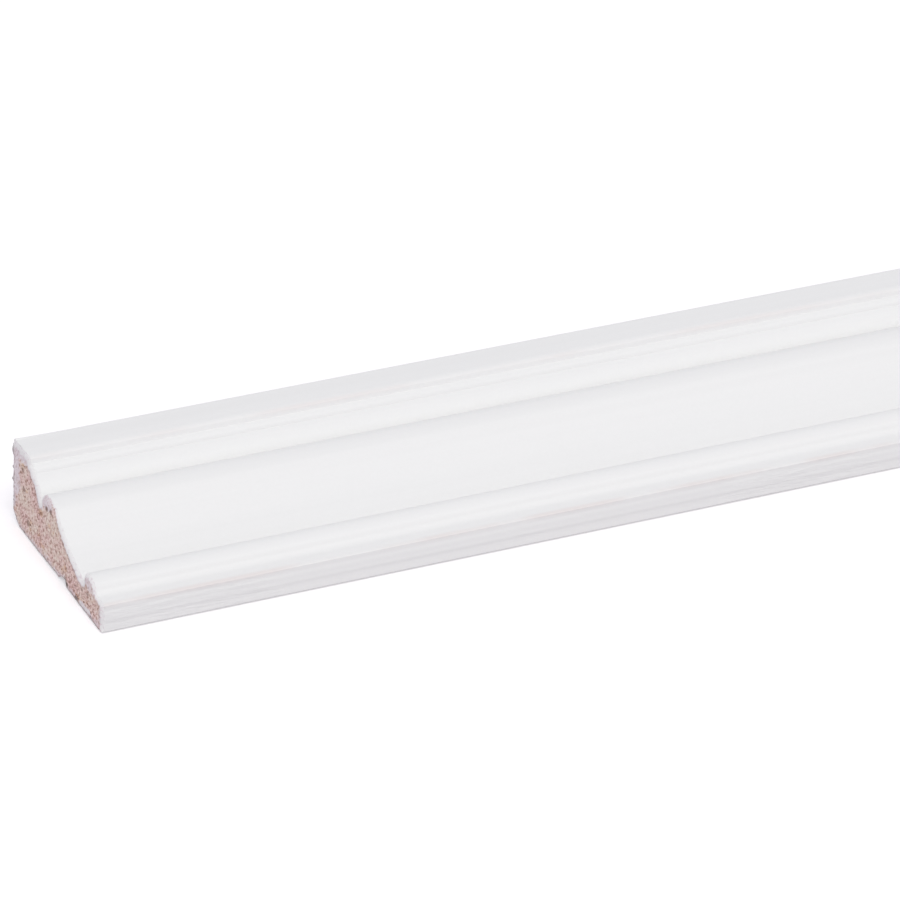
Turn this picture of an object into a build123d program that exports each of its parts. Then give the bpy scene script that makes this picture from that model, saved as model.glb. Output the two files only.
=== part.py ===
"""Pine decorative moulding: one straight length of softwood with an ogee section.

The moulding lies on its flat back. X runs along the length, +Y points to the thick
edge and -Y to the thin front edge, and Z is the height above the back. The origin is
the middle of the back face.

The section is drawn in two coordinates: the distance across the face, from the thick
edge, and the height above the back. Its upper members hang from the top land, its
lower members stand up from the back at the front edge, and the ogee between them
takes up the rest of the width. Slopes and turns are in degrees, slopes from the level.
"""
import os
from math import acos, atan2, cos, degrees, hypot, radians, sin

from build123d import *

# Stock, in millimetres
LENGTH = 2400.0
WIDTH = 55.0
THICKNESS = 22.0

# Eased corners of the two square edges
THICK_EDGE_ARRIS = 0.8
THIN_EDGE_ARRIS = 0.5

# Top land, eased into the step down to the bead
LAND_WIDTH = 8.3
LAND_EASE_RADIUS = 3.0
LAND_EASE_TURN = 25.0
STEP_ARRIS = 0.5
STEP_SLOPE = 75.0
STEP_FACE = 1.06

# Bead, and the ovolo that steepens below it into the upper quirk
BEAD_RADIUS = 2.0
BEAD_TURN = 77.0
OVOLO_RADIUS = 8.2
OVOLO_HEAD_SLOPE = 20.0
OVOLO_FOOT_SLOPE = 70.0

# Quirks, the narrow grooves behind the roll and behind the nosing
UPPER_QUIRK_WIDTH = 0.2
LOWER_QUIRK_WIDTH = 1.1

# Roll, the rounded crest at the top of the ogee
ROLL_WALL = 1.3
ROLL_BACK = 4.4
ROLL_RISE = 2.4
ROLL_RADIUS = 7.8

# Hollow, the lower half of the ogee, by its slope where it meets the lower quirk
HOLLOW_SLOPE = 21.0

# Back of the nosing, the small round member above the front edge
NOSING_WALL = 1.6
NOSING_BACK = 2.9
NOSING_RISE = 2.0

# Face of the nosing: a wide crown, a tight shoulder, a steep cheek and a cove at its foot
CROWN_RADIUS = 5.4
CROWN_TURN = 30.0
SHOULDER_RADIUS = 2.18
CHEEK_SLOPE = 66.0
CHEEK_FACE = 0.1
COVE_RADIUS = 2.2

# Front fillet, eased towards the front edge
FRONT_FILLET = 3.0
FRONT_HEIGHT = 7.6
FRONT_EASE_RADIUS = 9.5
FRONT_EASE_TURN = 13.0
FRONT_ARRIS = 0.35

# Directions in the section
ACROSS = (1, 0)
BACKWARD = (-1, 0)
UP = (0, 1)
DOWN = (0, -1)
QUARTER = 90
RIGHT_TURN = -QUARTER


def falling(slope):
    """Direction across the face that falls by the given slope."""
    return (cos(radians(slope)), -sin(radians(slope)))


def crest_behind(quirk_edge, wall, back, rise):
    """Upright wall from the quirk, and the arc from its top to a level crest; returns the crest."""
    wall_line = PolarLine(quirk_edge, wall, direction=UP)
    crest = wall_line @ 1 + (back, rise)
    TangentArc(crest, wall_line @ 1, tangent=BACKWARD)
    return crest


def ogee(start, end):
    """Roll and hollow, two tangent arcs from the level crest of the roll to the lower quirk.

    The turn at which one passes into the other follows from the roll's radius and the
    hollow's slope at its end.
    """
    run = end[0] - start.X
    drop = start.Y - end[1]
    slope = radians(HOLLOW_SLOPE)
    along = run - ROLL_RADIUS * sin(slope)
    down = drop - ROLL_RADIUS + ROLL_RADIUS * cos(slope)
    reach = run * cos(slope) + (drop - ROLL_RADIUS) * sin(slope)
    turn = atan2(down, along) + acos(reach / hypot(along, down))
    hollow_radius = (run - ROLL_RADIUS * sin(turn)) / (sin(turn) - sin(slope))
    roll = JernArc(start, ACROSS, ROLL_RADIUS, -degrees(turn))
    JernArc(roll @ 1, roll % 1, hollow_radius, degrees(turn) - HOLLOW_SLOPE)


def nosing_reach():
    """How far the nosing's face runs across, and how far it drops, from its crest to its foot."""
    crown = radians(CROWN_TURN)
    cheek = radians(CHEEK_SLOPE)
    run = (CROWN_RADIUS * sin(crown) + SHOULDER_RADIUS * (sin(cheek) - sin(crown))
           + CHEEK_FACE * cos(cheek) + COVE_RADIUS * sin(cheek))
    drop = (CROWN_RADIUS * (1 - cos(crown)) + SHOULDER_RADIUS * (cos(crown) - cos(cheek))
            + CHEEK_FACE * sin(cheek) + COVE_RADIUS * (1 - cos(cheek)))
    return run, drop


def moulding_section():
    """Closed outline of the moulding across its length, as a face."""
    nosing_run, nosing_drop = nosing_reach()
    lower_wall = WIDTH - FRONT_FILLET - nosing_run - NOSING_BACK
    lower_quirk_level = FRONT_HEIGHT + nosing_drop - NOSING_RISE - NOSING_WALL
    lower_quirk_start = (lower_wall - LOWER_QUIRK_WIDTH, lower_quirk_level)
    ease_run = FRONT_EASE_RADIUS * sin(radians(FRONT_EASE_TURN))
    front_arris_run = FRONT_ARRIS * (1 - sin(radians(FRONT_EASE_TURN)))

    with BuildSketch() as section:
        with BuildLine():
            # Thick edge and top land
            thick_edge = Line((0, THICK_EDGE_ARRIS), (0, THICKNESS - THICK_EDGE_ARRIS))
            top_arris = JernArc(thick_edge @ 1, UP, THICK_EDGE_ARRIS, RIGHT_TURN)
            land = Line(top_arris @ 1, (LAND_WIDTH, THICKNESS))

            # Step and bead
            land_ease = JernArc(land @ 1, ACROSS, LAND_EASE_RADIUS, -LAND_EASE_TURN)
            step_arris = JernArc(land_ease @ 1, land_ease % 1, STEP_ARRIS, LAND_EASE_TURN - STEP_SLOPE)
            step_face = PolarLine(step_arris @ 1, STEP_FACE, direction=step_arris % 1)
            bead = JernArc(step_face @ 1, ACROSS, BEAD_RADIUS, -BEAD_TURN)

            # Ovolo and upper quirk
            ovolo_turn = OVOLO_HEAD_SLOPE - OVOLO_FOOT_SLOPE
            ovolo = JernArc(bead @ 1, falling(OVOLO_HEAD_SLOPE), OVOLO_RADIUS, ovolo_turn)
            upper_quirk = PolarLine(ovolo @ 1, UPPER_QUIRK_WIDTH, direction=ACROSS)

            # Ogee and lower quirk
            roll_crest = crest_behind(upper_quirk @ 1, ROLL_WALL, ROLL_BACK, ROLL_RISE)
            ogee(roll_crest, lower_quirk_start)
            lower_quirk = Line(lower_quirk_start, (lower_wall, lower_quirk_level))

            # Nosing
            nosing_crest = crest_behind(lower_quirk @ 1, NOSING_WALL, NOSING_BACK, NOSING_RISE)
            crown = JernArc(nosing_crest, ACROSS, CROWN_RADIUS, -CROWN_TURN)
            shoulder = JernArc(crown @ 1, crown % 1, SHOULDER_RADIUS, CROWN_TURN - CHEEK_SLOPE)
            cheek = PolarLine(shoulder @ 1, CHEEK_FACE, direction=shoulder % 1)
            cove = JernArc(cheek @ 1, cheek % 1, COVE_RADIUS, CHEEK_SLOPE)

            # Front fillet and front edge
            front_fillet = Line(cove @ 1, (WIDTH - ease_run - front_arris_run, FRONT_HEIGHT))
            ease = JernArc(front_fillet @ 1, ACROSS, FRONT_EASE_RADIUS, -FRONT_EASE_TURN)
            front_arris = JernArc(ease @ 1, ease % 1, FRONT_ARRIS, FRONT_EASE_TURN - QUARTER)
            front_edge = Line(front_arris @ 1, (WIDTH, THIN_EDGE_ARRIS))

            # Back
            thin_arris = JernArc(front_edge @ 1, DOWN, THIN_EDGE_ARRIS, RIGHT_TURN)
            back = Line(thin_arris @ 1, (THICK_EDGE_ARRIS, 0))
            JernArc(back @ 1, BACKWARD, THICK_EDGE_ARRIS, RIGHT_TURN)
        make_face()
    return section.sketch


def moulding():
    """The whole length, its section swept straight along X between two square-cut ends."""
    end_plane = Plane(origin=(LENGTH / 2, WIDTH / 2, 0), x_dir=(0, -1, 0), z_dir=(-1, 0, 0))
    return extrude(end_plane * moulding_section(), amount=LENGTH)


os.makedirs("parts", exist_ok=True)
export_step(moulding(), "parts/moulding.step")
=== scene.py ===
"""Looks of a pine decorative moulding: one white-primed length with bare sawn ends.

The moulding lies on its flat back. X runs along it, +Y points to its thick edge and
Z is up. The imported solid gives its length, width and thickness. This script draws its
section again, finer, and gives it sawn ends, a primer coat and bare end grain.
"""
import logging
import math
from dataclasses import dataclass, field
from enum import Enum

import bmesh
import bpy
import numpy as np
from mathutils import Matrix, Vector, noise

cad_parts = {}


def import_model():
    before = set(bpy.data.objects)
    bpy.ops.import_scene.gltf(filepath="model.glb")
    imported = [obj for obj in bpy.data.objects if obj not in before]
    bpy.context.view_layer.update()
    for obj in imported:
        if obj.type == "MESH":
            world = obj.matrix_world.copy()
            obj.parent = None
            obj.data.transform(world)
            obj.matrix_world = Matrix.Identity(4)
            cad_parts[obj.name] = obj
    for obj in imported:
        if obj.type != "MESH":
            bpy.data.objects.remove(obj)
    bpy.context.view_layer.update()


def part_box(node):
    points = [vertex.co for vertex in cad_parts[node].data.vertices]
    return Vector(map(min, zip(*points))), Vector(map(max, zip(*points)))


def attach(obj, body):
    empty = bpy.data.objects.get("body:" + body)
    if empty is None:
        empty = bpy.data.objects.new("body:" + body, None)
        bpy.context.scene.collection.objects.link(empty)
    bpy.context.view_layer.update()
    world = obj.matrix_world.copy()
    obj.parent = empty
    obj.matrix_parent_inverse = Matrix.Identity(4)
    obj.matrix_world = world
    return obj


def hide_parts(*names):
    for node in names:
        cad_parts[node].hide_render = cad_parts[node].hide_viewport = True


LOG = logging.getLogger("moulding")

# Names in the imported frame
NODE = "moulding"
BODY = "root"

# Metres: the section's unit, and how close points lie that count as one or as in one plane
MM = 0.001
WELD = MM / 1000
IN_PLANE = MM / 100

# Attributes of the mesh that the finishes read
LAP_ATTRIBUTE = "paint_lap"
# Dirt on the ends, with painted shade along their rims and in a notch
SOIL_AND_SHADE_ATTRIBUTE = "soil_and_shade"
RESIN_ATTRIBUTE = "resin"
ARRIS_ATTRIBUTE = "thin_paint"
GRAIN_ATTRIBUTE = "raised_grain"

# Noise: the make-up of the fractal noise on the mesh, and the span of a texture's values
FRACTAL_DIMENSION = 0.9
LACUNARITY = 2.0
NOISE_SPAN = (0.2, 0.8)

QUARTER = 90.0
WHITE = (1.0, 1.0, 1.0)

Triple = tuple[float, float, float]
Colour = Triple
Point = tuple[float, float]
Socket = bpy.types.NodeSocket


class End(Enum):
    """The two sawn ends, by the side of X on which they lie."""

    NEAR = -1
    FAR = 1


class Coat(Enum):
    """The material slots of the moulding, in order."""

    PRIMER = 0
    BARE_WOOD = 1


class NoisePlace(Enum):
    """Places in the noise, one for each use on an end, so far apart that they never meet."""

    RAGGED_RIM = 0.0
    SAW_RELIEF = 20.0
    PRIMER = 40.0
    MARKS_AND_SHADE = 60.0


def object_mode() -> None:
    """Leave edit mode and deselect every object, so that an operator meets the new piece alone."""
    if bpy.context.mode != "OBJECT":
        bpy.ops.object.mode_set(mode="OBJECT")
    bpy.ops.object.select_all(action="DESELECT")


def smooth_step(low: float, high: float, value: np.ndarray) -> np.ndarray:
    """Ease from 0 at low to 1 at high.

    Args:
        low: Value at and below which the result is 0.
        high: Value at and above which the result is 1.
        value: Values to ease.

    Returns:
        The eased values.
    """
    share = np.clip((value - low) / (high - low), 0.0, 1.0)
    return share * share * (3.0 - 2.0 * share)


def by_place(spots: "Spots", pairs: tuple[Point, ...]) -> np.ndarray:
    """A size at each spot, from pairs of a place across the face and the size there."""
    return np.interp(spots.across, *zip(*pairs))


def fill_in(outline: np.ndarray, step: float) -> np.ndarray:
    """Points all along a closed outline.

    Args:
        outline: Corners of the outline, as rows.
        step: Widest gap between two points.

    Returns:
        The points, as rows.
    """
    filled = []
    for before, after in zip(outline, np.roll(outline, -1, axis=0)):
        count = max(1, math.ceil(np.hypot(*(after - before)) / step))
        filled.append(before + (after - before) * np.linspace(0.0, 1.0, count, endpoint=False)[:, None])
    return np.concatenate(filled)


@dataclass
class SectionPen:
    """Draws an outline across the moulding by extruding and spinning one vertex, in millimetres.

    The outline lies in a plane across X. Its points are given by their distance across
    the face from the thick edge, and by their height above the back. Headings and turns
    are in degrees, headings above the level and turns to the right where negative.
    """

    station: float
    thick_edge: float
    chord: float = 0.25
    widest_step: float = 9.0
    at: Point = (0.0, 0.0)
    heading: float = QUARTER
    outline: list[Point] = field(default_factory=list)

    def place(self, across: float, height: float) -> Vector:
        """The point in space, in metres, of a point of the section."""
        return Vector((self.station, self.thick_edge - across * MM, height * MM))

    def start(self, across: float, height: float) -> None:
        """Put down the pen: a small plane merged into the one vertex that is drawn with.

        Args:
            across: Distance of the first point from the thick edge.
            height: Its height above the back.
        """
        object_mode()
        bpy.ops.mesh.primitive_plane_add(size=MM, location=(0, 0, 0))
        bpy.ops.object.mode_set(mode="EDIT")
        bpy.ops.mesh.select_mode(type="VERT")
        bpy.ops.mesh.merge(type="CENTER")
        bpy.ops.transform.translate(value=self.place(across, height))
        self.at = (across, height)
        self.outline = [self.at]

    def line(self, across: float, height: float) -> None:
        """Draw a straight stretch to a point of the section.

        Args:
            across: Distance of the point from the thick edge.
            height: Its height above the back.
        """
        step = self.place(across, height) - self.place(*self.at)
        if step.length > 0:
            bpy.ops.mesh.extrude_vertices_move(TRANSFORM_OT_translate={"value": step})
            self.heading = math.degrees(math.atan2(height - self.at[1], across - self.at[0]))
            self.at = (across, height)
            self.outline.append(self.at)

    def turn_to(self, heading: float) -> None:
        """Face the given heading for the next stretch."""
        self.heading = heading

    def stroke(self, length: float) -> None:
        """Draw a straight stretch of the given length on from the present heading."""
        angle = math.radians(self.heading)
        self.line(self.at[0] + length * math.cos(angle), self.at[1] + length * math.sin(angle))

    def arc(self, radius: float, turn: float) -> None:
        """Draw a round stretch on from the present heading.

        Args:
            radius: Radius of the stretch.
            turn: How far the heading turns along it.
        """
        side = math.copysign(1.0, turn)
        normal = math.radians(self.heading + QUARTER * side)
        centre = (self.at[0] + radius * math.cos(normal), self.at[1] + radius * math.sin(normal))
        length = radius * math.radians(abs(turn))
        steps = max(math.ceil(length / self.chord), math.ceil(abs(turn) / self.widest_step))
        bpy.ops.mesh.spin(
            steps=steps, angle=math.radians(turn), center=self.place(*centre), axis=(1, 0, 0),
            use_auto_merge=False)
        first = normal + math.pi
        for step in range(1, steps + 1):
            angle = first + math.radians(turn) * step / steps
            self.at = (centre[0] + radius * math.cos(angle), centre[1] + radius * math.sin(angle))
            self.outline.append(self.at)
        self.heading += turn

    def close(self) -> bpy.types.Object:
        """Join the outline's end to its start and fill it with one face.

        Returns:
            The object, in edit mode, with its one face selected.
        """
        bpy.ops.mesh.select_all(action="SELECT")
        bpy.ops.mesh.remove_doubles(threshold=WELD)
        bpy.ops.mesh.edge_face_add()
        return bpy.context.object


@dataclass(frozen=True)
class Arris:
    """A corner of the section where the primer is thin: its place, its wear, and how far that reaches."""

    place: Point
    wear: float
    reach: float = 0.7

    def wear_at(self, across: np.ndarray, height: np.ndarray) -> np.ndarray:
        """How thin the primer is at points of the section, from 0 to the corner's wear."""
        distance = np.hypot(across - self.place[0], height - self.place[1])
        return self.wear * np.exp(-(distance / self.reach) ** 2)


@dataclass
class MouldingSection:
    """Sizes of the moulding's section, in millimetres and degrees, from the thick edge to the front."""

    width: float
    thickness: float
    thick_edge_arris: float = 0.8
    thin_edge_arris: float = 0.5
    land_width: float = 8.3
    land_ease_radius: float = 3.0
    land_ease_turn: float = 25.0
    step_arris: float = 0.5
    step_slope: float = 75.0
    step_face: float = 1.06
    step_wear: float = 0.6
    bead_radius: float = 2.0
    bead_turn: float = 77.0
    ovolo_radius: float = 8.2
    ovolo_head_slope: float = 20.0
    ovolo_foot_slope: float = 70.0
    upper_quirk_width: float = 0.2
    lower_quirk_width: float = 1.1
    roll_wall: float = 1.3
    roll_back: float = 4.4
    roll_rise: float = 2.4
    roll_radius: float = 7.8
    hollow_slope: float = 21.0
    nosing_wall: float = 1.6
    nosing_back: float = 2.9
    nosing_rise: float = 2.0
    crown_radius: float = 5.4
    crown_turn: float = 30.0
    shoulder_radius: float = 2.18
    cheek_slope: float = 66.0
    cheek_face: float = 0.1
    cove_radius: float = 2.2
    front_fillet: float = 3.0
    front_height: float = 7.6
    front_ease_radius: float = 9.5
    front_ease_turn: float = 13.0
    front_arris: float = 0.35
    front_wear: float = 1.0
    arrises: list[Arris] = field(default_factory=list)

    def draw_upper_members(self, pen: SectionPen) -> None:
        """Draw the step below the top land, the bead and the ovolo, down to the upper quirk.

        Args:
            pen: Pen at the end of the top land.
        """
        pen.arc(self.land_ease_radius, -self.land_ease_turn)
        self.arrises.append(Arris(pen.at, self.step_wear))
        pen.arc(self.step_arris, self.land_ease_turn - self.step_slope)
        pen.stroke(self.step_face)
        pen.turn_to(0.0)
        pen.arc(self.bead_radius, -self.bead_turn)
        pen.turn_to(-self.ovolo_head_slope)
        pen.arc(self.ovolo_radius, self.ovolo_head_slope - self.ovolo_foot_slope)
        pen.turn_to(0.0)
        pen.stroke(self.upper_quirk_width)

    def draw_crest(self, pen: SectionPen, wall: float, back: float, rise: float) -> None:
        """Draw an upright wall and the arc from its top to a level crest.

        Args:
            pen: Pen at the foot of the wall.
            wall: Height of the wall.
            back: How far the crest lies across from the wall.
            rise: How far the crest lies above the wall's top.
        """
        pen.turn_to(QUARTER)
        pen.stroke(wall)
        radius = (back * back + rise * rise) / (2 * rise)
        turn = math.degrees(math.asin(back / radius))
        pen.turn_to(turn)
        pen.arc(radius, -turn)

    def draw_ogee(self, pen: SectionPen, end: Point) -> None:
        """Draw the roll and the hollow, two tangent arcs.

        Args:
            pen: Pen at the roll's crest.
            end: Where the hollow meets the lower quirk.
        """
        run = end[0] - pen.at[0]
        drop = pen.at[1] - end[1]
        slope = math.radians(self.hollow_slope)
        along = run - self.roll_radius * math.sin(slope)
        down = drop - self.roll_radius + self.roll_radius * math.cos(slope)
        reach = run * math.cos(slope) + (drop - self.roll_radius) * math.sin(slope)
        turn = math.atan2(down, along) + math.acos(reach / math.hypot(along, down))
        hollow = (run - self.roll_radius * math.sin(turn)) / (math.sin(turn) - math.sin(slope))
        pen.arc(self.roll_radius, -math.degrees(turn))
        pen.arc(hollow, math.degrees(turn) - self.hollow_slope)

    def draw_nosing(self, pen: SectionPen) -> None:
        """Draw the nosing's face: its crown, its tight shoulder, its steep cheek and its cove.

        Args:
            pen: Pen at the nosing's crest.
        """
        pen.arc(self.crown_radius, -self.crown_turn)
        pen.arc(self.shoulder_radius, self.crown_turn - self.cheek_slope)
        pen.stroke(self.cheek_face)
        pen.arc(self.cove_radius, self.cheek_slope)

    def nosing_crest(self) -> Point:
        """Work the nosing's crest back from the front edge.

        Returns:
            Its distance across and its height.
        """
        crown, cheek = math.radians(self.crown_turn), math.radians(self.cheek_slope)
        run = (self.crown_radius * math.sin(crown)
               + self.shoulder_radius * (math.sin(cheek) - math.sin(crown))
               + self.cheek_face * math.cos(cheek) + self.cove_radius * math.sin(cheek))
        drop = (self.crown_radius * (1 - math.cos(crown))
                + self.shoulder_radius * (math.cos(crown) - math.cos(cheek))
                + self.cheek_face * math.sin(cheek) + self.cove_radius * (1 - math.cos(cheek)))
        return self.width - self.front_fillet - run, self.front_height + drop

    def draw(self, pen: SectionPen) -> bpy.types.Object:
        """Draw the whole outline and fill it.

        Args:
            pen: Pen for the plane of the section.

        Returns:
            The object, in edit mode, with the section as one face.
        """
        pen.start(0.0, self.thick_edge_arris)
        pen.line(0.0, self.thickness - self.thick_edge_arris)
        pen.arc(self.thick_edge_arris, -QUARTER)
        pen.line(self.land_width, self.thickness)
        self.draw_upper_members(pen)
        self.draw_crest(pen, self.roll_wall, self.roll_back, self.roll_rise)

        crest = self.nosing_crest()
        wall = crest[0] - self.nosing_back
        level = crest[1] - self.nosing_rise - self.nosing_wall
        self.draw_ogee(pen, (wall - self.lower_quirk_width, level))
        pen.line(wall, level)
        self.draw_crest(pen, self.nosing_wall, self.nosing_back, self.nosing_rise)
        self.draw_nosing(pen)

        ease = math.sin(math.radians(self.front_ease_turn))
        eased = self.front_ease_radius * ease + self.front_arris * (1 - ease)
        pen.line(self.width - eased, self.front_height)
        pen.arc(self.front_ease_radius, -self.front_ease_turn)
        self.arrises.append(Arris(pen.at, self.front_wear))
        pen.arc(self.front_arris, self.front_ease_turn - QUARTER)
        pen.line(self.width, self.thin_edge_arris)
        pen.arc(self.thin_edge_arris, -QUARTER)
        pen.line(self.thick_edge_arris, 0.0)
        pen.arc(self.thick_edge_arris, -QUARTER)
        return pen.close()


@dataclass
class Spots:
    """Where vertices lie, in millimetres: across from the thick edge, above the back, in from an end."""

    across: np.ndarray
    height: np.ndarray
    inset: np.ndarray

    def distance_to(self, points: np.ndarray) -> np.ndarray:
        """How far each spot lies, in the section's plane, from the nearest point.

        Args:
            points: Points of the section, as rows of across and height.

        Returns:
            The distances.
        """
        nearest = np.full(len(self.across), np.inf)
        for across, height in points:
            nearest = np.minimum(nearest, np.hypot(self.across - across, self.height - height))
        return nearest

    def noise(self, seed: float, scale: float, octaves: int = 3) -> np.ndarray:
        """Fractal noise over the section, one value a spot, about -1 to 1.

        Args:
            seed: Place in the noise, which differs from use to use.
            scale: Features to the millimetre.
            octaves: Levels of finer noise.

        Returns:
            The values.
        """
        return np.array([
            noise.fractal(
                Vector((seed, side * scale, rise * scale)), FRACTAL_DIMENSION, LACUNARITY, octaves)
            for side, rise in zip(self.across, self.height)])


@dataclass(frozen=True)
class RimBreak:
    """A stretch of the back rim where wood has come away at the saw cut, in millimetres.

    The rim rises straight from where the break begins to where it is deep, and falls
    straight from the end of the deep stretch to where the break ends.
    """

    begin: float
    deep_from: float
    deep_to: float
    end: float
    lift: float
    run: float = 4.0

    def lift_at(self, spots: Spots) -> np.ndarray:
        """How far the break lifts the rim.

        Args:
            spots: Spots near the end.

        Returns:
            The lift at each spot.
        """
        rise = np.clip((spots.across - self.begin) / (self.deep_from - self.begin), 0.0, 1.0)
        fall = np.clip((self.end - spots.across) / (self.end - self.deep_to), 0.0, 1.0)
        fade = 1.0 - smooth_step(0.0, self.run, spots.inset)
        return self.lift * np.minimum(rise, fall) * fade


@dataclass(frozen=True)
class Burr:
    """Torn fibres, stiff with primer, that stand out of an end at the thick edge, in millimetres."""

    height: float
    reach: float
    stand: float
    root: float = 0.6
    depth: float = 0.2

    def stand_at(self, spots: Spots) -> np.ndarray:
        """How far the fibres stand out of the end.

        Args:
            spots: Spots near the end.

        Returns:
            The stand at each spot.
        """
        along = np.clip(1.0 - np.abs(spots.height - self.height) / self.reach, 0.0, 1.0)
        away = (spots.across / self.root) ** 2 + (spots.inset / self.depth) ** 2
        return self.stand * np.sqrt(along) * np.exp(-away)


@dataclass(frozen=True)
class Smear:
    """A smear of primer, a resin mark or a dark spot on a sawn end, round its middle, in millimetres.

    It is whole as far as the solid share of its reach, and gone at the faded share.
    """

    across: float
    height: float
    reach_across: float
    reach_height: float
    strength: float
    tilt: float = 0.0
    solid: float = 0.6
    faded: float = 1.2

    def cover_at(self, spots: Spots, wobble: np.ndarray) -> np.ndarray:
        """How far the smear covers the end.

        Args:
            spots: Spots on the end.
            wobble: How much further out each spot counts, as a share of the reach.

        Returns:
            The cover at each spot, from 0 to the smear's strength.
        """
        side = spots.across - self.across
        rise = spots.height - self.height - self.tilt * side
        away = np.hypot(side / self.reach_across, rise / self.reach_height) + wobble
        return self.strength * (1.0 - smooth_step(self.solid, self.faded, away))


def joint_cover(smears: tuple[Smear, ...], spots: Spots, wobble: np.ndarray) -> np.ndarray:
    """How far any of the smears covers the end.

    Args:
        smears: Smears on the end.
        spots: Spots on the end.
        wobble: How much further out each spot counts, as a share of a smear's reach.

    Returns:
        The cover at each spot, from 0 to 1.
    """
    covers = [smear.cover_at(spots, wobble) for smear in smears]
    return np.max([np.zeros(len(wobble)), *covers], axis=0)


@dataclass(frozen=True)
class SawCut:
    """How rough the saw leaves an end, in millimetres, with scales in features to the millimetre."""

    relief: float = 0.22
    relief_scale: float = 1.3
    face_depth: float = 0.01
    ragged: float = 0.16
    ragged_scale: float = 0.9
    ragged_run: float = 2.0
    break_swing: float = 0.3
    squeeze: float = 5.0


@dataclass(frozen=True)
class PrimerLap:
    """How the primer laps over an end and rounds its rim, in millimetres.

    Laps and roundings are pairs of a place across the face and the lap's width or the
    rounding's depth there. The mist is a thin cover along the back.
    """

    laps: tuple[Point, ...] = (
        (16.5, 1.9), (18.5, 0.4), (25.0, 0.4), (29.0, 1.5), (41.0, 1.5), (44.0, 1.1),
        (50.0, 1.1), (52.0, 0.8), (54.0, 1.3))
    lap_swing: float = 0.25
    lap_fade: float = 0.3
    roundings: tuple[Point, ...] = ((4.0, 0.15), (12.0, 0.6))
    rounded_rim: float = 1.5
    rounded_run: float = 2.5
    swell: float = 0.2
    swell_run: float = 11.0
    mist: float = 0.55
    mist_fade: Point = (0.8, 2.2)
    smear_swing: float = 0.3
    patch_scale: float = 0.8

    def rounding_at(self, spots: Spots, nearest: np.ndarray) -> np.ndarray:
        """How far the rim is rounded back from the end's plane.

        Args:
            spots: Spots near the end.
            nearest: How far each spot lies from the primed rim of the section.

        Returns:
            The depth at each spot.
        """
        share = np.clip(1.0 - nearest / self.rounded_rim, 0.0, 1.0) ** 2
        fade = 1.0 - smooth_step(0.0, self.rounded_run, spots.inset)
        return share * by_place(spots, self.roundings) * fade

    def swell_at(self, spots: Spots) -> np.ndarray:
        """How far the thick edge's top corner is fuller towards the end, as a share of its radius."""
        return self.swell * (1.0 - smooth_step(0.0, self.swell_run, spots.inset))


@dataclass(frozen=True)
class EndDirtAndShade:
    """How dirt and painted shade grey an end: painted shade along its back and thick-edge rims, dirt past the
    primer's lap and on its burrs, with the distances in millimetres.
    """

    # Painted shade: a dark line along the end's rims at the back and at the thick edge, fading near the
    # primed rim
    rim_shade: float = 0.42
    rim_shade_swing: float = 0.38
    rim_shade_fade: Point = (0.2, 0.75)
    unshaded_corner: Point = (0.5, 2.0)
    lap_rim: float = 0.28
    lap_rim_gap: float = 0.25
    lap_rim_fade: Point = (0.15, 0.5)
    burr: float = 2.4
    patch_scale: float = 0.8
    spot_swing: float = 0.3


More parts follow.
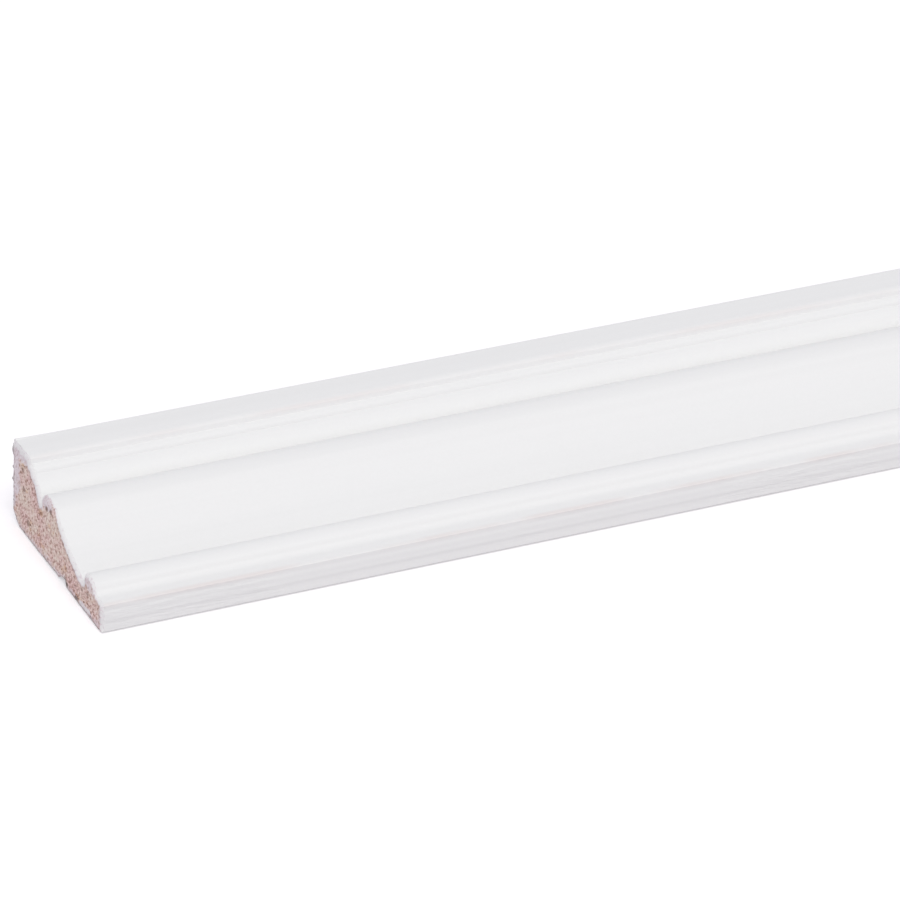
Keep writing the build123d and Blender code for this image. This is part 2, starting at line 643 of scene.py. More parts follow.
@dataclass(frozen=True)
class SawnEnd:
    """One end: how it came off the saw, where it took primer, dirt and resin, and where shade is painted on
    it.
    """

    end: End
    seed: float
    breaks: tuple[RimBreak, ...]
    burrs: tuple[Burr, ...]
    smears: tuple[Smear, ...]
    # Dark spots low on the end; the one in a broken notch of the back rim is painted shade
    dark_spots: tuple[Smear, ...] = ()
    resin_spots: tuple[Smear, ...] = ()
    cut: SawCut = SawCut()
    primer: PrimerLap = PrimerLap()
    dirt_and_shade: EndDirtAndShade = EndDirtAndShade()

    def wobble(self, spots: Spots, place: NoisePlace, scale: float) -> np.ndarray:
        """Noise over the end for one of its uses, one value a spot."""
        return spots.noise(self.seed + place.value, scale)

    def shape(self, spots: Spots, nearest: np.ndarray) -> tuple[np.ndarray, np.ndarray]:
        """Work out how the saw and the primer have left the end.

        Args:
            spots: Spots near the end.
            nearest: How far each spot lies from the primed rim of the section.

        Returns:
            How far each spot stands out of the end's plane, and how far it is lifted.
        """
        cut = self.cut
        wave = np.abs(self.wobble(spots, NoisePlace.RAGGED_RIM, cut.ragged_scale))
        wave *= 1.0 - smooth_step(0.0, cut.ragged_run, spots.inset)
        lift = cut.ragged * wave
        for rim_break in self.breaks:
            lift = np.maximum(lift, rim_break.lift_at(spots) * (1.0 + cut.break_swing * wave))
        lift *= np.clip(1.0 - spots.height / cut.squeeze, 0.0, 1.0)

        relief = np.abs(self.wobble(spots, NoisePlace.SAW_RELIEF, cut.relief_scale))
        out = -cut.relief * relief * (spots.inset < cut.face_depth)
        out -= self.primer.rounding_at(spots, nearest)
        for burr in self.burrs:
            out += burr.stand_at(spots)
        return out, lift

    def lap(self, spots: Spots, nearest: np.ndarray) -> np.ndarray:
        """Work out where primer covers the end.

        Args:
            spots: Spots near the end.
            nearest: How far each spot lies from the primed rim of the section.

        Returns:
            The cover at each spot, from 0 for bare wood to 1 for full primer.
        """
        primer = self.primer
        wobble = self.wobble(spots, NoisePlace.PRIMER, primer.patch_scale)
        width = by_place(spots, primer.laps) + primer.lap_swing * wobble
        lapped = 1.0 - smooth_step(-primer.lap_fade, primer.lap_fade, nearest - width)
        misted = primer.mist * (1.0 - smooth_step(*primer.mist_fade, spots.height + wobble))
        smeared = joint_cover(self.smears, spots, primer.smear_swing * wobble)
        return np.max([lapped, misted, smeared], axis=0)

    def soil_and_shade(self, spots: Spots, nearest: np.ndarray, cover: np.ndarray) -> np.ndarray:
        """Work out where dirt and painted shade grey the end: painted shade along its back and thick-edge
        rims, dirt past the lap and on the burrs, and the dark spots.

        Args:
            spots: Spots near the end.
            nearest: How far each spot lies from the primed rim of the section.
            cover: How far primer covers each spot.

        Returns:
            The dirt and painted shade at each spot, from 0 to 1.
        """
        dirt_and_shade = self.dirt_and_shade
        wobble = self.wobble(spots, NoisePlace.MARKS_AND_SHADE, dirt_and_shade.patch_scale)
        # Painted shade: a dark line along the back and thick-edge rims of the end
        rim_shade = 1.0 - smooth_step(*dirt_and_shade.rim_shade_fade, np.minimum(spots.height, spots.across))
        rim_shade *= (dirt_and_shade.rim_shade + dirt_and_shade.rim_shade_swing * wobble) * smooth_step(*dirt_and_shade.unshaded_corner, nearest)
        past_lap = np.abs(nearest - by_place(spots, self.primer.laps) - dirt_and_shade.lap_rim_gap)
        lap_rim = dirt_and_shade.lap_rim * (1.0 - smooth_step(*dirt_and_shade.lap_rim_fade, past_lap)) * (1.0 - cover)
        burrs = [dirt_and_shade.burr * burr.stand_at(spots) for burr in self.burrs]
        # Dark spots; the one in the broken notch is painted shade
        spotted = joint_cover(self.dark_spots, spots, dirt_and_shade.spot_swing * wobble)
        return np.clip(np.max([rim_shade, lap_rim, *burrs, spotted], axis=0), 0.0, 1.0)

    def resin(self, spots: Spots) -> np.ndarray:
        """How far dark resin marks each spot of the end, from 0 to 1."""
        wobble = self.wobble(spots, NoisePlace.MARKS_AND_SHADE, self.dirt_and_shade.patch_scale)
        return joint_cover(self.resin_spots, spots, self.dirt_and_shade.spot_swing * wobble)


NEAR_END = SawnEnd(
    End.NEAR, seed=3.7,
    breaks=(RimBreak(-3.0, -1.0, 0.0, 3.8, 2.3, run=9.0), RimBreak(17.0, 24.0, 27.0, 29.0, 0.35),
            RimBreak(28.2, 30.9, 32.7, 33.3, 1.5, run=5.0), RimBreak(35.5, 36.0, 36.5, 37.5, 0.25)),
    burrs=(Burr(19.2, 1.7, 0.35), Burr(14.5, 0.5, 0.35), Burr(11.3, 0.6, 0.4)),
    smears=(Smear(0.8, 14.0, 3.8, 8.5, 0.75), Smear(4.0, 20.5, 6.0, 2.8, 0.75),
            Smear(20.2, 15.9, 4.6, 2.2, 0.75, tilt=0.1), Smear(17.2, 13.9, 1.6, 1.7, 0.75),
            Smear(40.2, 7.2, 3.2, 1.3, 0.75, tilt=-0.35), Smear(45.8, 9.1, 4.2, 2.0, 0.7, tilt=-0.5),
            Smear(45.0, 1.0, 5.2, 1.0, 0.9), Smear(53.6, 3.4, 1.2, 3.0, 0.5),
            Smear(0.0, 6.0, 1.6, 4.5, 0.75)),
    # Dark spots along the back rim; the first, in the broken notch, is painted shade
    dark_spots=(Smear(33.3, 1.0, 1.1, 0.7, 1.0), Smear(39.6, 0.7, 1.2, 0.5, 0.9),
            Smear(48.2, 0.7, 0.6, 0.4, 0.8)),
    resin_spots=(Smear(20.8, 14.3, 0.8, 0.8, 1.0), Smear(23.4, 14.8, 0.7, 0.8, 0.95),
                 Smear(5.8, 16.5, 0.8, 0.6, 1.0), Smear(6.7, 11.8, 1.0, 0.8, 0.7),
                 Smear(9.3, 4.1, 1.0, 1.0, 0.65), Smear(42.8, 4.8, 0.6, 0.5, 0.7),
                 Smear(46.2, 5.5, 0.9, 0.5, 0.7, tilt=0.3)))
FAR_END = SawnEnd(
    End.FAR, seed=41.2,
    breaks=(RimBreak(8.0, 10.0, 10.5, 11.0, 0.7), RimBreak(40.0, 43.0, 44.0, 47.0, 0.3)),
    burrs=(Burr(16.0, 1.2, 0.3), Burr(7.5, 0.6, 0.35)),
    smears=(Smear(2.0, 17.0, 3.0, 5.0, 0.7), Smear(22.0, 15.0, 3.0, 2.0, 0.6, tilt=-0.4),
            Smear(49.0, 4.0, 3.5, 2.2, 0.65)))


@dataclass(frozen=True)
class Ripple:
    """A change of the front edge's depth between two heights, in millimetres."""

    top: float
    foot: float
    stand: float

    def stand_at(self, height: np.ndarray) -> np.ndarray:
        """How far the ripple has brought the edge forward at each height."""
        return self.stand * (1.0 - smooth_step(self.foot, self.top, height))


@dataclass
class Moulding:
    """The whole length of moulding: its box in metres, and its other sizes in millimetres and degrees.

    Rings are the places, in from each end, at which the length is divided.
    """

    low: Vector
    high: Vector
    cell: float = 0.35
    rings: tuple[float, ...] = (
        0.1, 0.25, 0.5, 0.9, 1.5, 2.5, 4.0, 6.0, 9.0, 14.0, 22.0, 35.0, 60.0, 100.0,
        160.0, 260.0, 420.0, 680.0, 940.0)
    end_reach: float = 22.0
    rim_step: float = 0.2
    edge_depth: float = 0.05
    front_depth: float = 0.01
    crease: float = 32.0
    ends: tuple[SawnEnd, ...] = (NEAR_END, FAR_END)
    ripples: tuple[Ripple, ...] = (
        Ripple(6.2, 4.9, 0.17), Ripple(4.2, 3.5, 0.06), Ripple(3.3, 2.7, -0.13), Ripple(1.3, 0.7, 0.04))
    length: float = field(init=False)
    section: MouldingSection = field(init=False)

    def __post_init__(self) -> None:
        """Take the section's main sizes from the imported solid's box."""
        self.length = (self.high.x - self.low.x) / MM
        self.section = MouldingSection(
            width=(self.high.y - self.low.y) / MM, thickness=(self.high.z - self.low.z) / MM)

    def build(self) -> bpy.types.Object:
        """Model the moulding.

        Returns:
            The finished object.
        """
        pen = SectionPen(station=self.low.x, thick_edge=self.high.y)
        piece = self.section.draw(pen)
        self.cut_grid()
        self.draw_out()
        bpy.ops.object.mode_set(mode="OBJECT")
        piece.name = "primed_moulding"
        piece.data.name = "primed_moulding"
        self.mark_ends(piece.data)
        self.wear(piece.data, np.array(pen.outline))
        bpy.ops.object.shade_smooth_by_angle(angle=math.radians(self.crease))
        return piece

    def cut_grid(self) -> None:
        """Cut the section's face into small cells, so that the sawn end can be rough."""
        spans = (
            (Vector((0, -1, 0)), self.section.width),
            (Vector((0, 0, 1)), self.section.thickness),
        )
        corner = Vector((self.low.x, self.high.y, self.low.z))
        for direction, span in spans:
            cuts = round(span / self.cell)
            for cut in range(1, cuts):
                bpy.ops.mesh.select_all(action="SELECT")
                bpy.ops.mesh.bisect(
                    plane_co=corner + direction * (span * cut / cuts * MM), plane_no=direction)
        bpy.ops.mesh.select_all(action="SELECT")

    def draw_out(self) -> None:
        """Extrude the section's rim along the length, ring by ring, and close the far end."""
        stations = [0.0, *self.rings, *(self.length - ring for ring in reversed(self.rings)), self.length]
        bpy.ops.mesh.region_to_loop()
        for before, after in zip(stations, stations[1:]):
            bpy.ops.mesh.extrude_region_move(
                TRANSFORM_OT_translate={"value": ((after - before) * MM, 0, 0)})
        self.select_faces_at(self.low.x)
        bpy.ops.mesh.duplicate_move(TRANSFORM_OT_translate={"value": (self.length * MM, 0, 0)})
        bpy.ops.mesh.select_all(action="SELECT")
        bpy.ops.mesh.remove_doubles(threshold=WELD)
        bpy.ops.mesh.normals_make_consistent(inside=False)

    def select_faces_at(self, station: float) -> None:
        """Select the faces that lie wholly in one plane across X.

        Args:
            station: Place of the plane, in metres.
        """
        bpy.ops.mesh.select_mode(type="FACE")
        bpy.ops.mesh.select_all(action="DESELECT")
        mesh = bpy.context.object.data
        drawn = bmesh.from_edit_mesh(mesh)
        for face in drawn.faces:
            face.select_set(all(abs(vertex.co.x - station) < IN_PLANE for vertex in face.verts))
        drawn.select_flush_mode()
        bmesh.update_edit_mesh(mesh)

    def mark_ends(self, mesh: bpy.types.Mesh) -> None:
        """Give the end faces the bare wood's material slot, and all others the primer's.

        Args:
            mesh: Mesh of the moulding.
        """
        for face in mesh.polygons:
            at_end = abs(abs(face.center.x) - self.high.x) < IN_PLANE
            face.material_index = Coat.BARE_WOOD.value if at_end else Coat.PRIMER.value

    def wear(self, mesh: bpy.types.Mesh, outline: np.ndarray) -> None:
        """Shape the sawn ends and the front edge, and write where primer, dirt, painted shade and resin lie.

        Args:
            mesh: Mesh of the moulding.
            outline: Points of the section's outline, as rows of across and height.
        """
        places = np.zeros(len(mesh.vertices) * 3)
        mesh.vertices.foreach_get("co", places)
        places = places.reshape(-1, 3)
        across = (self.high.y - places[:, 1]) / MM
        height = places[:, 2] / MM
        front = across > self.section.width - self.front_depth
        layers = {
            LAP_ATTRIBUTE: np.zeros(len(places)),
            SOIL_AND_SHADE_ATTRIBUTE: np.zeros(len(places)),
            RESIN_ATTRIBUTE: np.zeros(len(places)),
            ARRIS_ATTRIBUTE: np.max(
                [arris.wear_at(across, height) for arris in self.section.arrises], axis=0),
            GRAIN_ATTRIBUTE: front.astype(float),
        }

        rim = self.primed_rim(outline)
        for sawn_end in self.ends:
            inset = (self.high.x - sawn_end.end.value * places[:, 0]) / MM
            near = np.flatnonzero(inset < self.end_reach)
            spots = Spots(across[near], height[near], inset[near])
            nearest = spots.distance_to(rim)
            cover = sawn_end.lap(spots, nearest)
            layers[LAP_ATTRIBUTE][near] = cover
            layers[SOIL_AND_SHADE_ATTRIBUTE][near] = sawn_end.soil_and_shade(spots, nearest, cover)
            layers[RESIN_ATTRIBUTE][near] = sawn_end.resin(spots)
            out, lift = sawn_end.shape(spots, nearest)
            side, rise = self.fuller_corner(spots, sawn_end.primer)
            places[near, 0] += sawn_end.end.value * out * MM
            places[near, 1] += side * MM
            places[near, 2] += (lift + rise) * MM
        for ripple in self.ripples:
            places[front, 1] -= ripple.stand_at(height[front]) * MM
        mesh.vertices.foreach_set("co", places.ravel())

        for name, values in layers.items():
            layer = mesh.attributes.new(name, "FLOAT", "POINT")
            layer.data.foreach_set("value", values.astype(np.float32))
        mesh.update()

    def primed_rim(self, outline: np.ndarray) -> np.ndarray:
        """The part of the section's rim that the primer laps over: all but the thick edge and the back.

        Args:
            outline: Points of the section's outline, as rows of across and height.

        Returns:
            Points close together along that part, as rows.
        """
        rim = fill_in(outline, self.rim_step)
        return rim[(rim[:, 0] > self.edge_depth) & (rim[:, 1] > self.section.thick_edge_arris)]

    def fuller_corner(self, spots: Spots, primer: PrimerLap) -> tuple[np.ndarray, np.ndarray]:
        """Work out how the thick edge's top corner grows fuller towards an end.

        Args:
            spots: Spots near the end.
            primer: How the primer lies on that end.

        Returns:
            How far each spot goes out sideways, and how far it rises.
        """
        arris = self.section.thick_edge_arris
        side = np.clip(arris - spots.across, 0.0, None)
        rise = np.clip(spots.height - self.section.thickness + arris, 0.0, None)
        swell = primer.swell_at(spots) * ((side > 0.0) & (rise > 0.0))
        return swell * side, swell * rise


@dataclass
class NodeSheet:
    """A node tree that is filled node by node. Inputs are given as values or as other nodes' outputs."""

    tree: bpy.types.NodeTree

    def add(
            self, kind: str, settings: dict[str, object] | None = None, **inputs: object) -> bpy.types.Node:
        """Add a node.

        Args:
            kind: Name of the node's type, without its prefix.
            settings: Properties of the node.
            inputs: Values or sockets for its inputs, by name, with underscores for spaces.

        Returns:
            The node.
        """
        node = self.tree.nodes.new("ShaderNode" + kind)
        for name, value in (settings or {}).items():
            setattr(node, name, value)
        for name, value in inputs.items():
            self.feed(node.inputs[name.replace("_", " ")], value)
        return node

    def feed(self, socket: Socket, value: object) -> None:
        """Set an input to a value, or link it to another node's output.

        Args:
            socket: The input.
            value: A number, a vector, a colour without its alpha, or the output.
        """
        if isinstance(value, Socket):
            self.tree.links.new(value, socket)
        elif socket.type == "RGBA":
            socket.default_value = (*value, 1.0)
        else:
            socket.default_value = value

    def math(self, operation: str, *values: object, clamp: bool = False) -> Socket:
        """Add a Math node.

        Args:
            operation: Name of the operation.
            values: Its inputs, in order.
            clamp: Whether the result stays between 0 and 1.

        Returns:
            Its output.
        """
        node = self.add("Math", {"operation": operation, "use_clamp": clamp})
        for socket, value in zip(node.inputs, values):
            self.feed(socket, value)
        return node.outputs[0]

    def mix(self, factor: object, first: object, second: object, blend: str = "MIX") -> Socket:
        """Add a colour Mix node.

        Args:
            factor: How far the result goes from the first colour to the second.
            first: The first colour.
            second: The second colour.
            blend: How the second is laid on the first.

        Returns:
            Its output.
        """
        node = self.add("Mix", {"data_type": "RGBA", "blend_type": blend})
        for socket, value in ((node.inputs[0], factor), (node.inputs[6], first), (node.inputs[7], second)):
            self.feed(socket, value)
        return node.outputs[2]

    def span(self, value: object, low: object, high: object, first: float, last: float) -> Socket:
        """Add a Map Range node, smooth and clamped.

        Args:
            value: The value to map.
            low: Value that becomes first.
            high: Value that becomes last.
            first: Result at and below low.
            last: Result at and above high.

        Returns:
            Its output.
        """
        settings = {"interpolation_type": "SMOOTHSTEP"}
        ends = {"From_Min": low, "From_Max": high, "To_Min": first, "To_Max": last}
        return self.add("MapRange", settings, Value=value, **ends).outputs[0]

    def group(self, tree: bpy.types.NodeTree, **inputs: object) -> Socket:
        """Place a shared group and give its one output."""
        return self.add("Group", {"node_tree": tree}, **inputs).outputs[0]

    def attribute(self, name: str) -> Socket:
        """Read one of the mesh's attributes as a value."""
        return self.add("Attribute", {"attribute_name": name}).outputs["Fac"]

    def relief(self, shader: bpy.types.Node, height: Socket, strength: float, depth: float) -> None:
        """Give a shader a bump.

        Args:
            shader: The shader.
            height: Height of the bump over the surface.
            strength: How far the bump shows.
            depth: Its depth in metres where the height is 1.
        """
        bump = self.add("Bump", Strength=strength, Distance=depth, Height=height)
        self.feed(shader.inputs["Normal"], bump.outputs[0])


def new_material(name: str) -> tuple[bpy.types.Material, NodeSheet, bpy.types.Node]:
    """Start a material.

    Args:
        name: Name of the material.

    Returns:
        The material, its sheet and its Principled BSDF.
    """
    material = bpy.data.materials.new(name)
    material.use_nodes = True
    return material, NodeSheet(material.node_tree), material.node_tree.nodes["Principled BSDF"]


@dataclass(frozen=True)
class SharedGroup:
    """A node group in the making, which takes a vector and gives one value."""

    tree: bpy.types.NodeTree
    sheet: NodeSheet
    entry: bpy.types.Node
    leave: bpy.types.Node

    @classmethod
    def begin(cls, name: str, result: str) -> "SharedGroup":
        """Start a group.

        Args:
            name: Name of the group.
            result: Name of its output.

        Returns:
            The group, with its input and output nodes.
        """
        tree = bpy.data.node_groups.new(name, "ShaderNodeTree")
        tree.interface.new_socket("Vector", in_out="INPUT", socket_type="NodeSocketVector")
        tree.interface.new_socket(result, in_out="OUTPUT", socket_type="NodeSocketFloat")
        entry = tree.nodes.new("NodeGroupInput")
        leave = tree.nodes.new("NodeGroupOutput")
        return cls(tree, NodeSheet(tree), entry, leave)


def stretched_noise(name: str, scales: Triple, detail: float) -> bpy.types.NodeTree:
    """Make a group of noise with its own scale along each axis.

    Args:
        name: Name of the group.
        scales: Features to the metre along X, Y and Z.
        detail: Levels of finer noise.

    Returns:
        The group, which gives a value about 0.5.
    """
    group = SharedGroup.begin(name, "Value")
    stretched = group.sheet.add("VectorMath", {"operation": "MULTIPLY"})
    group.sheet.feed(stretched.inputs[0], group.entry.outputs["Vector"])
    group.sheet.feed(stretched.inputs[1], scales)
    grain = group.sheet.add(
        "TexNoise", Vector=stretched.outputs[0], Scale=1.0, Detail=detail, Roughness=0.6)
    group.sheet.feed(group.leave.inputs["Value"], grain.outputs["Fac"])
    return group.tree


def blotches() -> bpy.types.NodeTree:
    """Make a group of scattered uneven blotches, where noise rises over a threshold.

    Returns:
        The group, which gives a mask.
    """
    group = SharedGroup.begin("blotches", "Mask")
    for name in ("Scale", "Threshold", "Softness"):
        group.tree.interface.new_socket(name, in_out="INPUT", socket_type="NodeSocketFloat")
    given = group.entry.outputs
    cloud = group.sheet.add(
        "TexNoise", Vector=given["Vector"], Scale=given["Scale"], Detail=2.5, Roughness=0.55)
    over = group.sheet.math("SUBTRACT", cloud.outputs["Fac"], given["Threshold"])
    group.sheet.feed(group.leave.inputs["Mask"], group.sheet.span(over, 0.0, given["Softness"], 0.0, 1.0))
    return group.tree


@dataclass(frozen=True)
class EffectKit:
    """The groups that the primer and the bare wood share: streaks and fibres along X, mottle and blotches."""

    streaks: bpy.types.NodeTree
    mottle: bpy.types.NodeTree
    fibres: bpy.types.NodeTree
    blotches: bpy.types.NodeTree

    @classmethod
    def make(cls) -> "EffectKit":
        """Make every shared group.
        """
        return cls(
            streaks=stretched_noise("streaks", (1.5, 220.0, 220.0), detail=4.0),
            mottle=stretched_noise("mottle", (1300.0, 1300.0, 1300.0), detail=4.0),
            fibres=stretched_noise("fibres", (130.0, 1000.0, 1000.0), detail=2.0),
            blotches=blotches())


@dataclass(frozen=True)
class Patches:
    """One use of the blotches: features to the metre, the noise at their rims, and how softly they begin."""

    scale: float
    threshold: float | Socket
    softness: float = 0.08

    def mask(self, sheet: NodeSheet, kit: EffectKit, place: Socket) -> Socket:
        """The patches as a mask in a material."""
        return sheet.group(
            kit.blotches, Vector=place, Scale=self.scale, Threshold=self.threshold, Softness=self.softness)


@dataclass(frozen=True)
class PrimerFinish:
    """White primer, sprayed on planed pine: thin on the arrises, with faint streaks and raised grain."""

    colour: Colour = (0.868, 0.867, 0.867)
    thin_colour: Colour = (0.80, 0.735, 0.725)
    thin_patches: Patches = Patches(38.0, 0.34, softness=0.36)
    thin_range: Point = (0.1, 0.75)
    worn_streaks: Point = (0.62, 0.8)
    streak_wear: float = 0.2
    streak_tones: Point = (0.985, 1.012)
    mottle_tone: float = 0.008
    roughness: float = 0.55
    roughness_swing: float = 0.06
    rough_patches: Patches = Patches(22.0, 0.42)
    fine_grain: float = 0.4
    front_grain: float = 90.0
    streak_relief: float = 0.5
    bump_strength: float = 0.12
    bump_depth: float = 0.00006

    def material(self, kit: EffectKit) -> bpy.types.Material:
        """Make the primer's material.

        Args:
            kit: The shared effects.

        Returns:
            The material.
        """
        material, sheet, shader = new_material("white_primer")
        place = sheet.add("TexCoord").outputs["Object"]
        streaks = sheet.group(kit.streaks, Vector=place)
        mottle = sheet.group(kit.mottle, Vector=place)
        fibres = sheet.group(kit.fibres, Vector=place)

        bare = sheet.span(self.thin_patches.mask(sheet, kit, place), 0.0, 1.0, *self.thin_range)
        thin = sheet.math("MULTIPLY", sheet.attribute(ARRIS_ATTRIBUTE), bare)
        streaked = sheet.span(streaks, *self.worn_streaks, 0.0, self.streak_wear)
        worn = sheet.math("ADD", thin, streaked, clamp=True)
        coat = sheet.mix(worn, self.colour, self.thin_colour)
        tone = sheet.math(
            "ADD", sheet.span(streaks, *NOISE_SPAN, *self.streak_tones),
            sheet.span(mottle, *NOISE_SPAN, -self.mottle_tone, self.mottle_tone))
        shade = sheet.add("CombineColor", Red=tone, Green=tone, Blue=tone).outputs[0]
        sheet.feed(shader.inputs["Base Color"], sheet.mix(1.0, coat, shade, "MULTIPLY"))

        smoothest = self.roughness - self.roughness_swing
        roughest = self.roughness + self.roughness_swing
        sheet.feed(shader.inputs["Roughness"], sheet.span(mottle, *NOISE_SPAN, smoothest, roughest))
        rough = sheet.math(
            "MULTIPLY", sheet.attribute(GRAIN_ATTRIBUTE), self.rough_patches.mask(sheet, kit, place))
        grain = sheet.math("MULTIPLY_ADD", rough, self.front_grain, self.fine_grain)
        height = sheet.math("MULTIPLY_ADD", streaks, self.streak_relief, mottle)
        height = sheet.math("MULTIPLY_ADD", fibres, grain, height)
        sheet.relief(shader, height, self.bump_strength, self.bump_depth)
        return material


@dataclass(frozen=True)
class BareWoodFinish:
    """Sawn end grain of pine: pinkish, mottled and specked along its rings, with primer over its rim, painted
    lighter than the primer on the faces, and painted shade along its rims.
    """

    dark: Colour = (0.42, 0.255, 0.205)
    middle: Colour = (0.80, 0.59, 0.545)
    light: Colour = (1.0, 0.85, 0.80)
    dark_stop: float = 0.38
    middle_stop: float = 0.47
    light_stop: float = 0.6
    streak_share: float = 0.16
    pink_tint: Colour = (1.022, 0.963, 0.972)
    straw_tint: Colour = (0.98, 1.018, 0.95)
    tint_streaks: Point = (0.34, 0.66)
    ring_slant: float = -33.0
    ring_stretch: Triple = (1.0, 1.5, 0.95)
    resin_patches: Patches = Patches(340.0, 0.59)
    resin_tint: Colour = (0.93, 0.84, 0.71)
    resin_colour: Colour = (0.20, 0.095, 0.065)
    speck_colour: Colour = (0.27, 0.125, 0.09)
    speck_scale: float = 1000.0
    speck_softness: float = 0.06
    speck_thresholds: Point = (0.66, 0.555)
    smear_colour: Colour = (0.91, 0.83, 0.885)
    smear_span: Point = (0.15, 0.85)
    smear_depth: float = 0.85
    # Painted light: the primer's lap on the end is coloured lighter than the primer on the faces, to make up
    # for the end's plane getting less light
    lap_colour_painted_lighter: Colour = (0.98, 0.975, 0.965)
    lap_span: Point = (0.75, 1.0)
    lap_depth: float = 0.95
    cover_swing: float = 0.22
    # Grey for dirt on the end, and for painted shade along its rims and in a notch
    soil_and_shade_colour: Colour = (0.12, 0.105, 0.09)
    mark_depth: float = 0.9
    roughness: float = 0.9
    primed_roughness: float = 0.6
    primed_span: Point = (0.3, 1.0)
    bump_strength: float = 0.4
    bump_depth: float = 0.0002

    def material(self, kit: EffectKit) -> bpy.types.Material:
        """Make the end grain's material.

        Args:
            kit: The shared effects.

        Returns:
            The material.
        """
        material, sheet, shader = new_material("sawn_pine")
        slant = (math.radians(self.ring_slant), 0.0, 0.0)
        place = sheet.add(
            "Mapping", {"vector_type": "TEXTURE"}, Vector=sheet.add("TexCoord").outputs["Object"],
            Rotation=slant, Scale=self.ring_stretch).outputs[0]
        streaks = sheet.group(kit.streaks, Vector=place)
        mottle = sheet.group(kit.mottle, Vector=place)
        resin = self.resin_patches.mask(sheet, kit, place)
        crowd = sheet.span(resin, 0.0, 1.0, *self.speck_thresholds)
        specks = Patches(self.speck_scale, crowd, self.speck_softness).mask(sheet, kit, place)

        grain = sheet.math("MULTIPLY", mottle, 1.0 - self.streak_share)
        grain = sheet.math("MULTIPLY_ADD", streaks, self.streak_share, grain)
        tint = sheet.mix(
            sheet.span(streaks, *self.tint_streaks, 0.0, 1.0), self.pink_tint, self.straw_tint)
        wood = sheet.mix(1.0, self.grain_colour(sheet, grain), tint, "MULTIPLY")
        wood = sheet.mix(resin, wood, self.resin_tint, "MULTIPLY")
        wood = sheet.mix(sheet.math("MULTIPLY", specks, self.mark_depth), wood, self.speck_colour)

        uneven = sheet.span(mottle, *NOISE_SPAN, -self.cover_swing, self.cover_swing)
        cover = sheet.math("ADD", sheet.attribute(LAP_ATTRIBUTE), uneven)
        smeared = sheet.span(cover, *self.smear_span, 0.0, self.smear_depth)
        lapped = sheet.span(cover, *self.lap_span, 0.0, self.lap_depth)
        coated = sheet.mix(smeared, wood, self.smear_colour)
        # Painted light: the lap's primer is lighter than on the faces
        coated = sheet.mix(lapped, coated, self.lap_colour_painted_lighter)
        # Resin marks, then dirt with painted shade along the end's rims and in a notch
        for attribute, colour in (
                (RESIN_ATTRIBUTE, self.resin_colour), (SOIL_AND_SHADE_ATTRIBUTE, self.soil_and_shade_colour)):
            marks = sheet.math("MULTIPLY", sheet.attribute(attribute), self.mark_depth)
            coated = sheet.mix(marks, coated, colour)
        sheet.feed(shader.inputs["Base Color"], coated)

        sheet.feed(
            shader.inputs["Roughness"],
            sheet.span(cover, *self.primed_span, self.roughness, self.primed_roughness))
        height = sheet.math("SUBTRACT", mottle, specks)
        sheet.relief(shader, height, self.bump_strength, self.bump_depth)
        return material

    def grain_colour(self, sheet: NodeSheet, grain: Socket) -> Socket:
        """Colour the grain from dark to light.

        Args:
            sheet: Sheet of the material.
            grain: Value of the grain.

        Returns:
            The colour.
        """
        ramp = sheet.add("ValToRGB", Fac=grain)
        stops = ramp.color_ramp.elements
        stops[0].position = self.dark_stop
        stops[0].color = (*self.dark, 1.0)
        stops[1].position = self.light_stop
        stops[1].color = (*self.light, 1.0)
        stops.new(self.middle_stop).color = (*self.middle, 1.0)
        return ramp.outputs["Color"]


def gaze(azimuth: float, elevation: float) -> Vector:
    """Direction that looks down from an elevation.

    Args:
        azimuth: Turn from +Y towards +X, in degrees.
        elevation: Angle below the level, in degrees.

    Returns:
        The direction, of length 1.
    """
    side, fall = math.radians(azimuth), math.radians(elevation)
    return Vector((math.sin(side) * math.cos(fall), math.cos(side) * math.cos(fall), -math.sin(fall)))


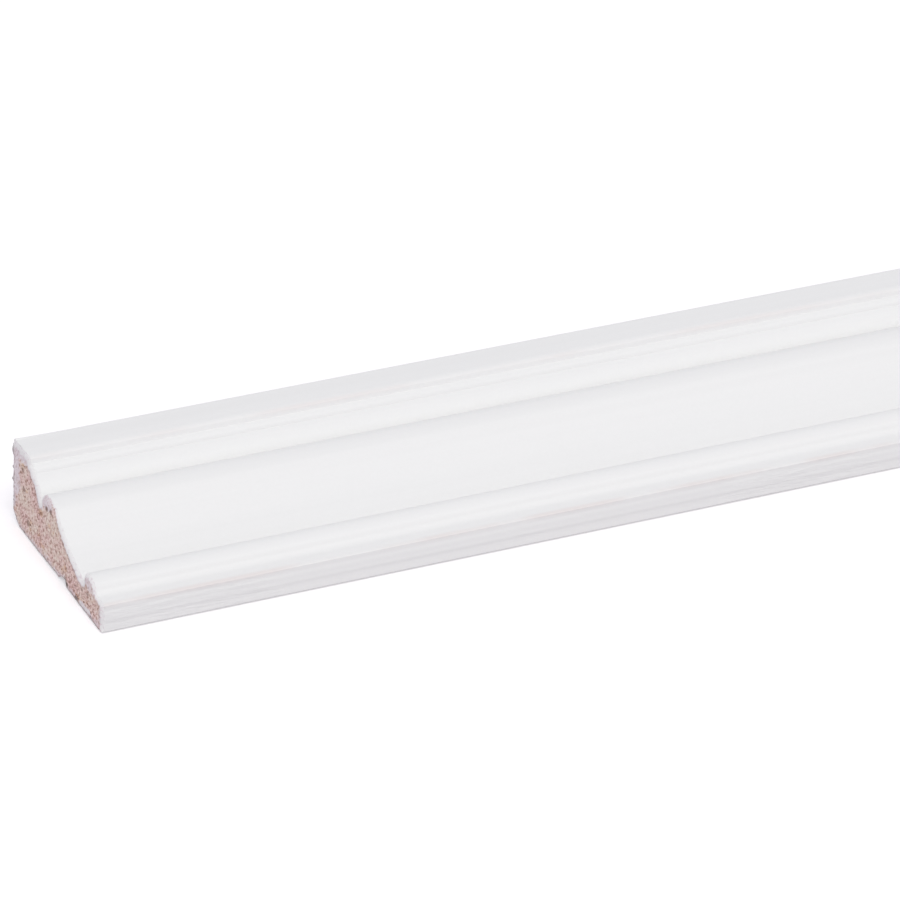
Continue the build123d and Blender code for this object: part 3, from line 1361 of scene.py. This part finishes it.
@dataclass(frozen=True)
class Studio:
    """Pale floor, soft light and the camera, in metres and degrees, with the lens in millimetres."""

    floor_size: float = 30.0
    floor_gap: float = 0.0002
    floor_colour: Colour = (0.752, 0.728, 0.75)
    floor_glow: float = 0.4
    sky: float = 0.57
    sky_colour: Colour = (0.979, 0.975, 1.055)
    key_strength: float = 1.3
    key_colour: Colour = (1.0, 1.0, 0.925)
    key_softness: float = 40.0
    key_elevation: float = 56.0
    key_azimuth: float = 10.0
    camera_place: Triple = (-1.65512, -1.12368, 0.73655)
    camera_azimuth: float = 26.3066
    camera_elevation: float = 30.0045
    camera_roll: float = -2.5825
    camera_reach: float = 100.0
    lens: float = 243.628
    sensor: float = 36.0

    def build(self) -> None:
        """Make the floor, the light and the camera."""
        self.build_floor()
        self.build_sky()
        self.build_key()
        self.build_camera()

    def build_floor(self) -> None:
        """Make a white floor that keeps the moulding's shadow."""
        object_mode()
        bpy.ops.mesh.primitive_plane_add(size=self.floor_size, location=(0, 0, -self.floor_gap))
        floor = bpy.context.object
        floor.name = "floor"
        material, sheet, shader = new_material("white_floor")
        sheet.feed(shader.inputs["Base Color"], self.floor_colour)
        sheet.feed(shader.inputs["Roughness"], 1.0)
        sheet.feed(shader.inputs["Specular IOR Level"], 0.0)
        sheet.feed(shader.inputs["Emission Color"], WHITE)
        seen = sheet.add("LightPath").outputs["Is Camera Ray"]
        sheet.feed(shader.inputs["Emission Strength"], sheet.math("MULTIPLY", seen, self.floor_glow))
        floor.data.materials.append(material)

    def build_sky(self) -> None:
        """Make an even sky, which the camera and reflections see as white."""
        world = bpy.data.worlds.new("studio")
        bpy.context.scene.world = world
        world.use_nodes = True
        sheet = NodeSheet(world.node_tree)
        sky = world.node_tree.nodes["Background"]
        sheet.feed(sky.inputs["Strength"], self.sky)
        sheet.feed(sky.inputs["Color"], self.sky_colour)
        backdrop = sheet.add("Background", Color=WHITE)
        path = sheet.add("LightPath").outputs
        seen = sheet.math("MAXIMUM", path["Is Camera Ray"], path["Is Glossy Ray"])
        seen = sheet.math("MAXIMUM", seen, path["Is Transmission Ray"])
        mix = sheet.add("MixShader", Fac=seen)
        sheet.feed(mix.inputs[1], sky.outputs[0])
        sheet.feed(mix.inputs[2], backdrop.outputs[0])
        sheet.feed(world.node_tree.nodes["World Output"].inputs["Surface"], mix.outputs[0])

    def build_key(self) -> None:
        """Make a soft key light from the front."""
        lamp = bpy.data.lights.new("key", "SUN")
        lamp.energy = self.key_strength
        lamp.color = self.key_colour
        lamp.angle = math.radians(self.key_softness)
        key = bpy.data.objects.new("key", lamp)
        bpy.context.scene.collection.objects.link(key)
        towards = gaze(self.key_azimuth, self.key_elevation)
        key.rotation_euler = towards.to_track_quat("-Z", "Y").to_euler()

    def build_camera(self) -> None:
        """Make the camera, at the photograph's viewing angle."""
        lens = bpy.data.cameras.new("camera")
        lens.lens = self.lens
        lens.sensor_width = self.sensor
        lens.clip_end = self.camera_reach
        camera = bpy.data.objects.new("camera", lens)
        bpy.context.scene.collection.objects.link(camera)
        azimuth, roll = math.radians(self.camera_azimuth), math.radians(self.camera_roll)
        ahead = gaze(self.camera_azimuth, self.camera_elevation)
        level = Vector((math.cos(azimuth), -math.sin(azimuth), 0.0))
        above = level.cross(ahead)
        right = math.cos(roll) * level - math.sin(roll) * above
        up = math.sin(roll) * level + math.cos(roll) * above
        turn = Matrix((right, up, -ahead)).transposed()
        camera.matrix_world = Matrix.Translation(self.camera_place) @ turn.to_4x4()
        bpy.context.scene.camera = camera


def main() -> None:
    """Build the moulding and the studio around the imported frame."""
    logging.basicConfig(level=logging.INFO, format="%(name)s: %(message)s")
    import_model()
    bpy.context.scene.view_settings.view_transform = "Standard"

    moulding = Moulding(*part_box(NODE))
    piece = moulding.build()
    kit = EffectKit.make()
    for finish in (PrimerFinish(), BareWoodFinish()):
        piece.data.materials.append(finish.material(kit))
    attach(piece, BODY)
    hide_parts(NODE)
    LOG.info("%s: %d faces", piece.name, len(piece.data.polygons))

    Studio().build()


if __name__ == "__main__":
    main()
